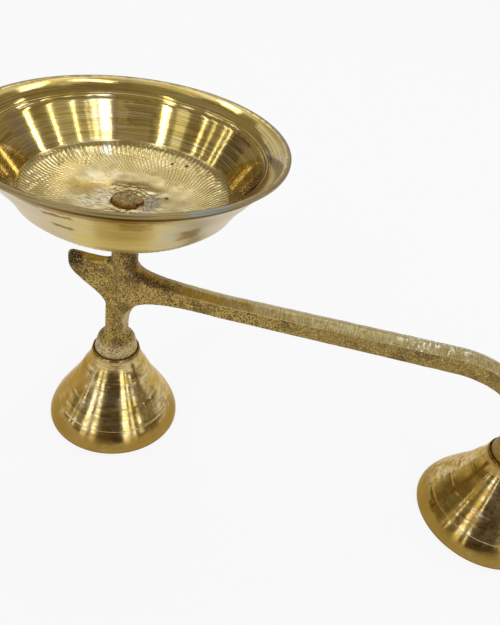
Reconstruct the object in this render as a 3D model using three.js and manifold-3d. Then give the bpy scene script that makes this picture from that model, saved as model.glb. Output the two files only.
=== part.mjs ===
// Handled incense burner in brass: a turned bowl and two hollow turned bell feet, held together by
// one sand-cast handle whose tenons are hammered over in the bowl and inside each foot.
// Millimetres, +Z up, +X along the handle towards the rear foot, standing on z = 0.

import * as THREE from 'three';
import { mergeVertices } from 'three/addons/utils/BufferGeometryUtils.js';
import Module from 'manifold-3d';

const wasm = await Module();
wasm.setup();

// Bell foot: each station is a radius and a height above the table, from the base to the crown.
const footBaseRadius = 25.4;
const lowGrooveRadius = 21.8;
const lowGrooveHeight = 8.3;
const midGrooveRadius = 17.0;
const midGrooveHeight = 15.8;
const topGrooveRadius = 12.3;
const topGrooveHeight = 24.6;
const footHeight = 33.2;
const footWall = 2.5;
const footCrownThickness = 3.6;
const lowBandBulge = 0.35;
const midBandBulge = 0.05;
const topBandBulge = -0.2;
const crownBandBulge = -0.45;
const footGrooveWidth = 0.6;
const footGrooveDepth = 0.35;
const footSideCount = 48;

// Round collar at the bottom of each leg of the handle, and the socket it sits in.
const collarRadius = 8.0;
const collarWaistRadius = 7.35;
const collarWaistHeight = 4.7;
const collarShoulderRadius = 4.7;
const collarShoulderHeight = 9.0;
const collarShoulderBulge = 0.7;
const collarEdge = 0.6;
const collarRootHeight = 16;
const socketDepth = 1.6;
const socketClearance = 0.35;
const crownLand = 0.45;

// Tenons of the handle, hammered over into heads.
const footTenonRadius = 2.6;
const footHeadRadius = 4.6;
const footHeadHeight = 1.8;
const bowlTenonRadius = 3.0;
const bowlHeadRadius = 5.3;
const bowlHeadHeight = 1.5;
const headEdge = 0.9;
const tenonClearance = 0.25;

// Cast handle: heights are above the seats of the collars, lengths are from the front foot's axis.
const feetSpacing = 152;
const castingThickness = 7.4;
const castingBevel = 1.35;
const partingBand = 0.5;
const legWidth = 6.2;
const legFootHeight = 8;
const armpitHeight = 14;
const armpitPullUp = 12.5;
const armpitPullBack = 30;
const barStart = 39;
const barUnderHeight = 30.5;
const barRise = 3.0;
const barFaceFront = 5.3;
const barFaceRear = 6.1;
const bendLength = 31;
const bendFootHeight = 10.5;
const neckHeight = 42.8;
const neckPullDown = 6.2;
const neckPullBack = 27;
const beakReach = 17.5;
const beakTopHeight = 40.2;
const beakTipRound = 2.2;
const beakPullDown = 6;
const beakRootHeight = 22.9;
const beakRootPullUp = 5.6;
const beakCheekHeight = 36;
const beakTipThickness = 6.0;
const beakEdgeThickness = 3.4;
const outlineSteps = 8;

// Round stem under the bowl.
const stemShift = 2.2;
const stemRadius = 4.6;
const stemHeight = 61.4;
const stemRootHeight = 33;
const stemRootRadius = 2.8;
const stemSeatRadius = 6.8;
const stemSeatFlare = 3.2;
const stemSeatLand = 0.8;
const handleSideCount = 40;

// Bowl: heights are above its underside, which sits on the stem.
const rimRadius = 50;
const bowlHeight = 26.7;
const rimLand = 1.4;
const rimEdgeHeight = 0.9;
const rimRound = 0.25;
const floorThickness = 2.2;
const undersideRadius = 17;
const heelRadius = 35.2;
const heelHeight = 7.0;
const heelBulge = 2.3;
const waistRadius = 41.7;
const waistHeight = 16.4;
const waistBulge = -0.35;
const flareBulge = -0.35;
const floorRadius = 20;
const cornerRadius = 33.1;
const cornerHeight = 8.3;
const cornerBulge = -1.1;
const lipRadius = 43.1;
const lipHeight = 22.8;
const lipLineSpacing = 1.2;
const lipLineWidth = 0.4;
const lipLineDepth = 0.2;
const bowlSideCount = 64;

const turnedBrass = { color: 0xa8925a, roughness: 0.32, metalness: 1 };
const castBrass = { color: 0x8a7440, roughness: 0.6, metalness: 1 };

const footSeat = footHeight - socketDepth;
const footCeiling = footSeat - footCrownThickness;
const socketRadius = collarRadius + socketClearance;
const crownRadius = socketRadius + crownLand;
const lengthMiddle = (stemShift - rimRadius + feetSpacing + footBaseRadius) / 2;

const point = (x, y) => new THREE.Vector2(x, y);

// Points from a to b along a shallow curve that stands off the straight line by bulge at its middle.
function bow(a, b, bulge, steps) {
  const along = b.clone().sub(a).normalize();
  const offset = point(along.y, -along.x).multiplyScalar(2 * bulge);
  const control = a.clone().add(b).multiplyScalar(0.5).add(offset);
  return new THREE.QuadraticBezierCurve(a, control, b).getPoints(steps);
}

// A fine V groove in a turned surface that comes from a, with the groove's middle at b.
function groove(a, b, width, depth) {
  const along = b.clone().sub(a).normalize();
  const inward = point(-along.y, along.x);
  return [
    b.clone().addScaledVector(along, -width / 2),
    b.clone().addScaledVector(inward, depth),
    b.clone().addScaledVector(along, width / 2),
  ];
}

// Turns an outline of (radius, height) points, listed anticlockwise, about the Z axis.
function turned(outline, sides) {
  const closed = outline[0].x > 0 ? [...outline, outline[0].clone()] : outline;
  return new THREE.LatheGeometry(closed, sides).rotateX(Math.PI / 2);
}

function toSolid(geometry) {
  const bare = geometry.clone();
  bare.deleteAttribute('normal');
  bare.deleteAttribute('uv');
  const merged = mergeVertices(bare, 1e-4);
  return new wasm.Manifold(new wasm.Mesh({
    numProp: 3,
    vertProperties: merged.attributes.position.array,
    triVerts: Uint32Array.from(merged.index.array),
  }));
}

function toGeometry(solid) {
  const mesh = solid.getMesh();
  const geometry = new THREE.BufferGeometry();
  geometry.setAttribute('position', new THREE.BufferAttribute(mesh.vertProperties, 3));
  geometry.setIndex(new THREE.BufferAttribute(mesh.triVerts, 1));
  return geometry;
}

function namedMesh(name, geometry, look) {
  const mesh = new THREE.Mesh(geometry, new THREE.MeshStandardMaterial(look));
  mesh.name = name;
  return mesh;
}

// Hollow bell foot: four bands between fine grooves, a socket in the crown and a hole for the tenon.
function bellFoot() {
  const base = point(footBaseRadius, 0);
  const low = point(lowGrooveRadius, lowGrooveHeight);
  const mid = point(midGrooveRadius, midGrooveHeight);
  const top = point(topGrooveRadius, topGrooveHeight);
  const crown = point(crownRadius, footHeight);
  const ceilingShare = (footCeiling - topGrooveHeight) / (footHeight - topGrooveHeight);
  const ceiling = point(THREE.MathUtils.lerp(topGrooveRadius, crownRadius, ceilingShare), footCeiling);
  const inside = [ceiling, top, mid, low, base].map((p) => point(p.x - footWall, p.y));
  const holeRadius = footTenonRadius + tenonClearance;
  return turned([
    ...bow(base, low, lowBandBulge, 5).slice(0, -1),
    ...groove(base, low, footGrooveWidth, footGrooveDepth),
    ...bow(low, mid, midBandBulge, 2).slice(1, -1),
    ...groove(low, mid, footGrooveWidth, footGrooveDepth),
    ...bow(mid, top, topBandBulge, 3).slice(1, -1),
    ...groove(mid, top, footGrooveWidth, footGrooveDepth),
    ...bow(top, crown, crownBandBulge, 4).slice(1),
    point(socketRadius, footHeight),
    point(socketRadius, footSeat),
    point(holeRadius, footSeat),
    point(holeRadius, footCeiling),
    ...inside,
  ], footSideCount);
}

// Round collar of a leg, with the tenon below it and the head that holds the foot on.
function collar() {
  const headSeat = -footCrownThickness;
  const waist = point(collarWaistRadius, collarWaistHeight);
  const shoulder = point(collarShoulderRadius, collarShoulderHeight);
  return turned([
    point(0, headSeat - footHeadHeight),
    point(footHeadRadius - headEdge, headSeat - footHeadHeight),
    point(footHeadRadius, headSeat - footHeadHeight + headEdge),
    point(footHeadRadius, headSeat),
    point(footTenonRadius, headSeat),
    point(footTenonRadius, 0),
    point(collarRadius - collarEdge, 0),
    point(collarRadius, collarEdge),
    point(collarRadius, socketDepth + collarEdge),
    ...bow(waist, shoulder, collarShoulderBulge, 4),
    point(0, collarRootHeight),
  ], handleSideCount);
}

// Round stem that carries the bowl, with its tenon and the head hammered over on the bowl's floor.
function stem() {
  const headSeat = stemHeight + floorThickness;
  const headTop = headSeat + bowlHeadHeight;
  return turned([
    point(0, stemRootHeight),
    point(stemRootRadius, stemRootHeight),
    point(stemRadius, neckHeight),
    point(stemRadius, stemHeight - stemSeatFlare),
    point(stemSeatRadius, stemHeight - stemSeatLand),
    point(stemSeatRadius, stemHeight),
    point(bowlTenonRadius, stemHeight),
    point(bowlTenonRadius, headSeat),
    point(bowlHeadRadius, headSeat),
    point(bowlHeadRadius, headTop - headEdge),
    point(bowlHeadRadius - headEdge, headTop),
    point(0, headTop),
  ], handleSideCount);
}

// Outline of the handle's flat side face: front leg, bar, rear leg, neck and beak.
function handleOutline() {
  const legHalf = legWidth / 2;
  const rearLeft = feetSpacing - legHalf;
  const rearRight = feetSpacing + legHalf;
  const bendStart = feetSpacing - bendLength;
  const barTopFront = barUnderHeight + barFaceFront;
  const barUnderRear = barUnderHeight + barRise;
  const barTopRear = barUnderRear + barFaceRear;
  const neckHalf = stemRadius - castingBevel;
  const neckLeft = stemShift - neckHalf;
  const neckRight = stemShift + neckHalf;
  const quarterPull = 4 * (Math.SQRT2 - 1) / 3;
  const innerReach = quarterPull * (rearLeft - bendStart);
  const innerClimb = quarterPull * (barUnderRear - bendFootHeight);
  const outerReach = quarterPull * (rearRight - bendStart);
  const outerClimb = quarterPull * (barTopRear - bendFootHeight);
  const shape = new THREE.Shape();
  shape.moveTo(-legHalf, legFootHeight);
  shape.lineTo(legHalf, legFootHeight);
  shape.lineTo(legHalf, armpitHeight);
  shape.bezierCurveTo(legHalf, armpitHeight + armpitPullUp,
    barStart - armpitPullBack, barUnderHeight, barStart, barUnderHeight);
  shape.lineTo(bendStart, barUnderRear);
  shape.bezierCurveTo(bendStart + innerReach, barUnderRear,
    rearLeft, bendFootHeight + innerClimb, rearLeft, bendFootHeight);
  shape.lineTo(rearLeft, legFootHeight);
  shape.lineTo(rearRight, legFootHeight);
  shape.lineTo(rearRight, bendFootHeight);
  shape.bezierCurveTo(rearRight, bendFootHeight + outerClimb,
    bendStart + outerReach, barTopRear, bendStart, barTopRear);
  shape.lineTo(barStart, barTopFront);
  shape.bezierCurveTo(barStart - neckPullBack, barTopFront,
    neckRight, neckHeight - neckPullDown, neckRight, neckHeight);
  shape.lineTo(neckLeft, neckHeight);
  shape.lineTo(neckLeft, beakTopHeight);
  shape.lineTo(beakTipRound - beakReach, beakTopHeight);
  shape.quadraticCurveTo(-beakReach, beakTopHeight, -beakReach, beakTopHeight - beakTipRound);
  shape.bezierCurveTo(-beakReach, beakTopHeight - beakTipRound - beakPullDown,
    -legHalf, beakRootHeight + beakRootPullUp, -legHalf, beakRootHeight);
  shape.closePath();
  return shape;
}

// Thins the beak towards its tip and, more, towards its top edge.
function thinBeak(geometry) {
  const { clamp, lerp } = THREE.MathUtils;
  const position = geometry.attributes.position;
  for (let i = 0; i < position.count; i += 1) {
    const reach = clamp(-position.getX(i) / beakReach, 0, 1);
    const rise = clamp((position.getZ(i) - beakCheekHeight) / (beakTopHeight - beakCheekHeight), 0, 1);
    const cheekThickness = lerp(castingThickness, beakTipThickness, reach);
    const thickness = reach > 0 ? lerp(cheekThickness, beakEdgeThickness, rise) : castingThickness;
    position.setY(i, position.getY(i) * thickness / castingThickness);
  }
  return geometry;
}

// Flat-sided bar with a bevel above and below that meet on the mould's parting line.
function handleBody() {
  const body = new THREE.ExtrudeGeometry(handleOutline(), {
    depth: partingBand,
    bevelEnabled: true,
    bevelThickness: (castingThickness - partingBand) / 2,
    bevelSize: castingBevel,
    bevelSegments: 1,
    curveSegments: outlineSteps,
  });
  body.translate(0, 0, -partingBand / 2).rotateX(Math.PI / 2);
  return thinBeak(body);
}

function handleCasting() {
  const bowlStem = toSolid(stem().translate(stemShift, 0, 0));
  const frontCollar = toSolid(collar());
  const rearCollar = toSolid(collar().translate(feetSpacing, 0, 0));
  return toGeometry(toSolid(handleBody()).add(bowlStem).add(frontCollar).add(rearCollar));
}

// Bowl: rounded heel, flared outer wall, sloped lip inside the rim, two engraved lines, dished floor.
function bowl() {
  const heel = point(heelRadius, heelHeight);
  const waist = point(waistRadius, waistHeight);
  const edge = point(rimRadius, bowlHeight - rimEdgeHeight);
  const lipTop = point(rimRadius - rimLand, bowlHeight);
  const lip = point(lipRadius, lipHeight);
  const corner = point(cornerRadius, cornerHeight);
  const downWall = corner.clone().sub(lip).normalize();
  const secondLine = lip.clone().addScaledVector(downWall, lipLineSpacing);
  const holeRadius = bowlTenonRadius + tenonClearance;
  return turned([
    point(holeRadius, 0),
    ...bow(point(undersideRadius, 0), heel, heelBulge, 6),
    ...bow(heel, waist, waistBulge, 3).slice(1),
    ...bow(waist, edge, flareBulge, 3).slice(1),
    point(rimRadius, bowlHeight - rimRound),
    point(rimRadius - rimRound, bowlHeight),
    lipTop,
    ...groove(lipTop, lip, lipLineWidth, lipLineDepth),
    ...groove(lip, secondLine, lipLineWidth, lipLineDepth),
    ...bow(corner, point(floorRadius, floorThickness), cornerBulge, 6),
    point(holeRadius, floorThickness),
  ], bowlSideCount);
}

const bowlMesh = namedMesh('bowl', bowl(), turnedBrass);
bowlMesh.position.set(stemShift, 0, footSeat + stemHeight);

const handleMesh = namedMesh('handle_casting', handleCasting(), castBrass);
handleMesh.position.z = footSeat;

const frontFoot = namedMesh('front_foot', bellFoot(), turnedBrass);

const rearFoot = namedMesh('rear_foot', bellFoot(), turnedBrass);
rearFoot.position.x = feetSpacing;

const burner = new THREE.Group();
burner.add(bowlMesh, handleMesh, frontFoot, rearFoot);
burner.position.x = -lengthMiddle;

export default burner;
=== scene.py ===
"""Handled brass incense burner: fine turned and cast meshes, brass materials, stage and light.

Sizes are the part's own, in millimetres, and become metres in the mesh builders. The row frame has
+Z up from the table and +X along the handle, from the bowl to the rear foot.
"""

import math

import bmesh
import bpy
from mathutils import Euler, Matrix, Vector, noise

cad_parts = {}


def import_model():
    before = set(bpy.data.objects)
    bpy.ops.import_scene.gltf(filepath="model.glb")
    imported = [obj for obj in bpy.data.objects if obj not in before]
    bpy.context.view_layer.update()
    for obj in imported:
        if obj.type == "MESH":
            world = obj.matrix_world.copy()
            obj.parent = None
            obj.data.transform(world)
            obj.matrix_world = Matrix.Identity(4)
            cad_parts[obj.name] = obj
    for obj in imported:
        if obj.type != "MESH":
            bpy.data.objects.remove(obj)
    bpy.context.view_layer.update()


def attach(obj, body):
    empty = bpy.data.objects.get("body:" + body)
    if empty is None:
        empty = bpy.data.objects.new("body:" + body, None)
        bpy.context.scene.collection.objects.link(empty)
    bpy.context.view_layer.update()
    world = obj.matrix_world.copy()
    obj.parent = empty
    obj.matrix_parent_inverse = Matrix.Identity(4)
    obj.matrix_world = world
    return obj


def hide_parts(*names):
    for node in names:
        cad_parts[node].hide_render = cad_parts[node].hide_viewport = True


MM = 0.001

# Where the pieces stand along the handle.
STEM_SHIFT = 2.2
RIM_RADIUS = 50
FEET_SPACING = 152
FOOT_BASE_RADIUS = 25.4
FRONT_X = -(STEM_SHIFT - RIM_RADIUS + FEET_SPACING + FOOT_BASE_RADIUS) / 2
REAR_X = FRONT_X + FEET_SPACING
BOWL_X = FRONT_X + STEM_SHIFT

# Bell foot: stations of radius and height above the table.
LOW_GROOVE = (21.8, 8.3)
MID_GROOVE = (17.0, 15.8)
TOP_GROOVE = (12.3, 24.6)
FOOT_HEIGHT = 33.2
FOOT_WALL = 2.5
FOOT_CROWN_THICKNESS = 3.6
BAND_BULGES = (0.35, 0.05, -0.2, -0.45)
FOOT_GROOVE_WIDTH = 0.4
FOOT_GROOVE_DEPTH = 0.025
SOCKET_DEPTH = 1.6
SOCKET_RADIUS = 8.35
CROWN_RADIUS = 8.8
FOOT_HOLE_RADIUS = 2.85
BASE_EDGE = 0.5
BASE_ROUND = 0.15
FOOT_SEAT = FOOT_HEIGHT - SOCKET_DEPTH
FOOT_CEILING = FOOT_SEAT - FOOT_CROWN_THICKNESS
FOOT_SIDES = 240

# Collar of a leg, its tenon and head, with heights above the foot's seat.
COLLAR_RADIUS = 8.0
COLLAR_WAIST = (7.35, 4.7)
COLLAR_SHOULDER = (4.7, 9.0)
COLLAR_SHOULDER_BULGE = 0.7
COLLAR_EDGE = 0.6
COLLAR_ROOT_HEIGHT = 16
FOOT_TENON_RADIUS = 2.6
FOOT_HEAD_RADIUS = 4.6
FOOT_HEAD_HEIGHT = 1.8
HEAD_EDGE = 0.9

# Side outline of the handle, with heights above the foot's seat and lengths from the front foot.
CASTING_THICKNESS = 7.4
CASTING_BEVEL = 1.35
PARTING_BAND = 0.5
LEG_HALF = 3.1
LEG_FOOT_HEIGHT = 8
ARMPIT_HEIGHT = 14
ARMPIT_PULL_UP = 12.5
ARMPIT_PULL_BACK = 30
BAR_START = 39
BAR_UNDER_FRONT = 30.5
BAR_UNDER_REAR = 33.5
BAR_TOP_FRONT = 35.8
BAR_TOP_REAR = 39.6
BEND_START = FEET_SPACING - 31
BEND_FOOT_HEIGHT = 10.5
NECK_HEIGHT = 42.8
NECK_PULL_DOWN = 6.2
NECK_PULL_BACK = 27
BEAK_REACH = 17.5
BEAK_TOP_HEIGHT = 40.2
BEAK_TIP_HEIGHT = 39.5
BEAK_DIP_HEIGHT = 39.4
BEAK_DIP_REACH = 6
BEAK_TIP_ROUND = 2.2
BEAK_PULL_DOWN = 6
BEAK_ROOT_HEIGHT = 22.9
BEAK_ROOT_PULL_UP = 5.6
BEAK_CHEEK_HEIGHT = 36
BEAK_TIP_THICKNESS = 6.0
BEAK_EDGE_THICKNESS = 3.4

# Stem under the bowl.
STEM_RADIUS = 4.6
STEM_HEIGHT = 61.4
STEM_ROOT = (2.8, 33)
STEM_SEAT_RADIUS = 6.8
STEM_SEAT_FLARE = 3.2
STEM_SEAT_LAND = 0.8
BOWL_TENON_RADIUS = 3.0
BOWL_HEAD_RADIUS = 5.3
BOWL_HEAD_HEIGHT = 1.7
BOWL_HEAD_SINK = 0.4
BOWL_HEAD_SIDES = 144
BOWL_HEAD_CHEEK = 0.6
BOWL_HEAD_SHOULDER = (0.9, 0.3)
BOWL_HEAD_STRETCH = (0.95, 0.93)
CLEFT_AZIMUTH = -25
CLEFT_DEPTH = 0.9

# Bowl: radius and height above its underside.
BOWL_BOTTOM = FOOT_SEAT + STEM_HEIGHT
BOWL_HEIGHT = 26.7
RIM_LAND = 1.4
RIM_EDGE_HEIGHT = 0.9
RIM_ROUND = 0.3
FLOOR_THICKNESS = 2.2
UNDERSIDE_RADIUS = 17
HEEL = (35.2, 7.0)
HEEL_BULGE = 2.3
WAIST = (41.7, 16.4)
WAIST_BULGE = -0.35
FLARE_BULGE = -0.35
FLOOR_RADIUS = 13
FLOOR_RISE = 1.0
CORNER = (33.1, 8.3)
CORNER_BULGE = -1.3
CORNER_ROUND = 1.3
LIP = (43.1, 22.8)
LIP_BULGE = 0.3
LIP_LINE_SPACING = 1.2
LIP_LINE_WIDTH = 0.35
LIP_LINE_DEPTH = 0.05
BOWL_HOLE_RADIUS = 3.25
WALL_SIDES = 244
WALL_STEPS = 12
CORNER_STEPS = 8
DISH_STEPS = 44
MIDDLE_STEPS = 30
FLOOR_SIDES = 4 * WALL_SIDES
FLOOR_LEVEL = FLOOR_THICKNESS + FLOOR_RISE

# Chatter ribs that the cutter left on the bowl's floor.
RIB_COUNT = 122
RIB_INNER_RADIUS = 20.5
RIB_OUTER_RADIUS = 33.1
RIB_DEPTH = 0.09
RIB_START_WANDER = 9
RIB_START_FADE = (-1.5, 2.5)
RIB_END_FADE = 0.4
RIB_SLANT_RADIUS = 28.6
RIB_SLANT_PER_MM = math.radians(1.1)
CROSS_RIB_COUNT = 93
CROSS_RIB_DEPTH = 0.035
CROSS_RIB_SLANT_PER_MM = math.radians(-1.6)
HAMMERED_RADIUS = 13.5
HAMMER_DEPTH = 0.22
HAMMER_FADE_START = 0.55
FLOOR_SWELL = 0.08
FLOOR_SWELL_END = (18, 26)

CASTING_VOXEL = 0.32
OUTLINE_STEPS = 24
BEAK_TIP_STEPS = 8
SMALL_TURN_SIDES = 72
CASTING_SOFTENING = 7
CAST_LUMP = 0.07
CAST_RIPPLE = 0.035

# Camera of the photo, from the fitted view.
CAMERA_PLACE = (5.945, -178.701, 201.322)
CAMERA_TURN = (52.438, -8.393, 13.505)
CAMERA_LENS = 46.898
SENSOR_WIDTH = 36
CAMERA_NEAR = 0.01

# Stage and light, in metres and degrees round the burner.
FLOOR_SIZE = 40
FLOOR_DROP = 0.0001
FLOOR_WHITE = 0.95
FLOOR_SHINE = 0.85
CARD_AZIMUTH = 282.8
CARD_WIDTH = 0.48
CARD_HEIGHT = 0.34
CARD_DISTANCE = 0.63
CARD_LEVEL = 0.175
LAMP_COLOUR = (0.92, 1.0, 1.14)
LAMP_DISTANCE = 1.6
LAMP_TARGET_HEIGHT = 0.07


# Outlines.


def rounded(a, corner, b, steps):
    """Points from a to b along a curve that rounds off the corner between them."""
    points = []
    for i in range(steps + 1):
        t = i / steps
        points.append(a * (1 - t) ** 2 + corner * 2 * t * (1 - t) + b * t**2)
    return points


def bow(a, b, bulge, steps):
    """Points from a to b along a shallow curve that stands off the straight line by bulge."""
    a, b = Vector(a), Vector(b)
    along = (b - a).normalized()
    return rounded(a, (a + b) / 2 + Vector((along.y, -along.x)) * 2 * bulge, b, steps)


def straight(a, b, steps):
    return bow(a, b, 0, steps)


def groove(a, b, width, depth):
    """A fine rounded groove in a surface that comes from a, with its middle at b."""
    a, b = Vector(a), Vector(b)
    along = (b - a).normalized()
    inward = Vector((-along.y, along.x))
    stations = ((-0.5, 0), (-0.3, 0.45), (-0.1, 0.95), (0.1, 0.95), (0.3, 0.45), (0.5, 0))
    return [b + along * width * s + inward * depth * d for s, d in stations]


def bezier(a, b, c, d, steps=OUTLINE_STEPS):
    """Points after a along a curve to d that leaves towards b and arrives from c."""
    points = []
    for i in range(1, steps + 1):
        t = i / steps
        u = 1 - t
        x = a[0] * u**3 + 3 * b[0] * u * u * t + 3 * c[0] * u * t * t + d[0] * t**3
        y = a[1] * u**3 + 3 * b[1] * u * u * t + 3 * c[1] * u * t * t + d[1] * t**3
        points.append((x, y))
    return points


def around(azimuth, distance, height):
    turn = math.radians(azimuth)
    return Vector((distance * math.cos(turn), distance * math.sin(turn), height))


# Mesh builders.


def turned_loop(bm, radius, height, sides, centre_x, base_z, relief=None):
    loop = []
    for i in range(sides):
        angle = 2 * math.pi * i / sides
        rise = relief(radius, height, angle) if relief else 0
        x = centre_x + radius * math.cos(angle)
        y = radius * math.sin(angle)
        loop.append(bm.verts.new((x * MM, y * MM, (base_z + height + rise) * MM)))
    return loop


def turned_mesh(name, rings, centre_x, base_z, closed, relief=None):
    """Turns rings of radius, height, sides and surface; sides may change by a whole factor."""
    bm = bmesh.new()
    loops = [turned_loop(bm, *ring[:3], centre_x, base_z, relief) for ring in rings]
    pairs = list(zip(range(len(rings) - 1), range(1, len(rings))))
    if closed:
        pairs.append((len(rings) - 1, 0))
    for i, j in pairs:
        band(bm, loops[i], loops[j], rings[j][3])
    if not closed:
        for loop, surface in ((loops[0][::-1], rings[0][3]), (loops[-1], rings[-1][3])):
            bm.faces.new(loop).material_index = surface
    bmesh.ops.recalc_face_normals(bm, faces=bm.faces)
    return to_object(bm, name)


def band(bm, lower, upper, surface):
    """Joins two loops with faces; one loop may have a whole number of times more points."""
    count = min(len(lower), len(upper))
    low_step = len(lower) // count
    up_step = len(upper) // count
    for i in range(count):
        low = [lower[(i * low_step + k) % len(lower)] for k in range(low_step + 1)]
        up = [upper[(i * up_step + k) % len(upper)] for k in range(up_step + 1)]
        bm.faces.new(low + up[::-1]).material_index = surface


def to_object(bm, name):
    mesh = bpy.data.meshes.new(name)
    bm.to_mesh(mesh)
    bm.free()
    piece = bpy.data.objects.new(name, mesh)
    bpy.context.scene.collection.objects.link(piece)
    for face in mesh.polygons:
        face.use_smooth = True
    return piece


def ringed(points, sides, surface):
    return [(p[0], p[1], sides, surface) for p in points]


# Bowl.

INSIDE, FLOOR, OUTSIDE = range(3)


def smooth_step(low, high, value):
    t = min(max((value - low) / (high - low), 0), 1)
    return t * t * (3 - 2 * t)


def floor_relief(radius, height, angle):
    """Chatter ribs, faint rings and hammer dents on the bowl's floor, in millimetres up."""
    if height < FLOOR_THICKNESS - 0.01 or radius > RIB_OUTER_RADIUS:
        return 0
    spot = Vector((math.cos(angle), math.sin(angle), 0)) * radius
    start = RIB_INNER_RADIUS + RIB_START_WANDER * noise.noise(spot * 0.2)
    fade = smooth_step(start + RIB_START_FADE[0], start + RIB_START_FADE[1], radius)
    fade *= 1 - smooth_step(RIB_OUTER_RADIUS - RIB_END_FADE, RIB_OUTER_RADIUS, radius)
    patchy = 0.8 + 0.9 * noise.noise(spot * 0.35)
    lean = min(radius - RIB_SLANT_RADIUS, 0) * RIB_SLANT_PER_MM
    ribs = math.cos(RIB_COUNT * (angle - lean))
    cross = math.cos(CROSS_RIB_COUNT * (angle - (radius - RIB_SLANT_RADIUS) * CROSS_RIB_SLANT_PER_MM))
    rise = fade * patchy * (RIB_DEPTH * ribs + CROSS_RIB_DEPTH * cross)
    hammered = 1 - smooth_step(HAMMERED_RADIUS * HAMMER_FADE_START, HAMMERED_RADIUS, radius)
    hammered *= smooth_step(BOWL_HOLE_RADIUS, BOWL_HOLE_RADIUS + 1, radius)
    dents = noise.noise(spot * 0.55) + 0.6 * noise.noise(spot * 1.3)
    swell = FLOOR_SWELL * noise.noise(spot * 0.22) * (1 - smooth_step(*FLOOR_SWELL_END, radius))
    return rise + hammered * HAMMER_DEPTH * dents + swell


def bowl_rings():
    edge = (RIM_RADIUS, BOWL_HEIGHT - RIM_EDGE_HEIGHT)
    lip_top = (RIM_RADIUS - RIM_LAND, BOWL_HEIGHT)
    along = (Vector(CORNER) - Vector(LIP)).normalized()
    second_line = Vector(LIP) + along * LIP_LINE_SPACING
    underside = [(BOWL_HOLE_RADIUS, 0), (10, 0), *bow((UNDERSIDE_RADIUS, 0), HEEL, HEEL_BULGE, 14)]
    outside = bow(HEEL, WAIST, WAIST_BULGE, 8)[1:] + bow(WAIST, edge, FLARE_BULGE, 8)[1:]
    rim_foot = (RIM_RADIUS, BOWL_HEIGHT - RIM_ROUND)
    rim = bow(rim_foot, (RIM_RADIUS - RIM_ROUND, BOWL_HEIGHT), RIM_ROUND * 0.2, 3)
    lip_line = groove(lip_top, LIP, LIP_LINE_WIDTH, LIP_LINE_DEPTH)
    inside = [lip_top, *bow(lip_top, lip_line[0], LIP_BULGE, 10)[1:], *lip_line[1:]]
    inside += groove(LIP, second_line, LIP_LINE_WIDTH, LIP_LINE_DEPTH)
    wall_foot = Vector(CORNER) - along * CORNER_ROUND
    inside += straight(inside[-1], wall_foot, WALL_STEPS)[1:]
    dish = bow(CORNER, (FLOOR_RADIUS, FLOOR_LEVEL), CORNER_BULGE, DISH_STEPS)
    kept = [p for p in dish if (p - Vector(CORNER)).length > CORNER_ROUND]
    floor = rounded(wall_foot, Vector(CORNER), kept[0], CORNER_STEPS)[1:] + kept[1:]
    hole = (BOWL_HOLE_RADIUS, FLOOR_LEVEL)
    middle = straight((FLOOR_RADIUS, FLOOR_LEVEL), hole, MIDDLE_STEPS)[1:]
    rings = ringed(underside + outside, WALL_SIDES, OUTSIDE)
    rings += ringed(rim + inside, WALL_SIDES, INSIDE)
    rings += ringed(floor, FLOOR_SIDES, FLOOR)
    rings += ringed(middle, WALL_SIDES, FLOOR)
    return rings


def make_bowl():
    return turned_mesh("turned_bowl", bowl_rings(), BOWL_X, BOWL_BOTTOM, True, floor_relief)


# Feet.


def foot_rings():
    base = Vector((FOOT_BASE_RADIUS, BASE_EDGE))
    low, mid, top = Vector(LOW_GROOVE), Vector(MID_GROOVE), Vector(TOP_GROOVE)
    crown = Vector((CROWN_RADIUS, FOOT_HEIGHT))
    outside = [Vector((FOOT_BASE_RADIUS - BASE_EDGE, 0))]
    outside.append(Vector((FOOT_BASE_RADIUS - BASE_ROUND, BASE_ROUND)))
    stations = (base, low, mid, top)
    for start, end, bulge in zip(stations, (*stations[1:], crown), BAND_BULGES):
        curve = bow(start, end, bulge, 10)
        if end is crown:
            outside += curve[1:]
        else:
            outside += curve[1:-1] + groove(start, end, FOOT_GROOVE_WIDTH, FOOT_GROOVE_DEPTH)
    share = (FOOT_CEILING - TOP_GROOVE[1]) / (FOOT_HEIGHT - TOP_GROOVE[1])
    ceiling = top.lerp(crown, share)
    ceiling.y = FOOT_CEILING
    socket = [(SOCKET_RADIUS, FOOT_HEIGHT), (SOCKET_RADIUS, FOOT_SEAT), (FOOT_HOLE_RADIUS, FOOT_SEAT)]
    inside = [(FOOT_HOLE_RADIUS, FOOT_CEILING)]
    hollow = [(p.x - FOOT_WALL, p.y) for p in (ceiling, top, mid, low, Vector((FOOT_BASE_RADIUS, 0)))]
    for a, b in zip(hollow, hollow[1:]):
        inside += straight(a, b, 5)[:-1]
    inside.append(hollow[-1])
    return ringed(outside, FOOT_SIDES, 0) + ringed(socket + inside, FOOT_SIDES, 1)


def make_foot(name, centre_x):
    return turned_mesh(name, foot_rings(), centre_x, 0, True)


# Handle casting.


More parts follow.
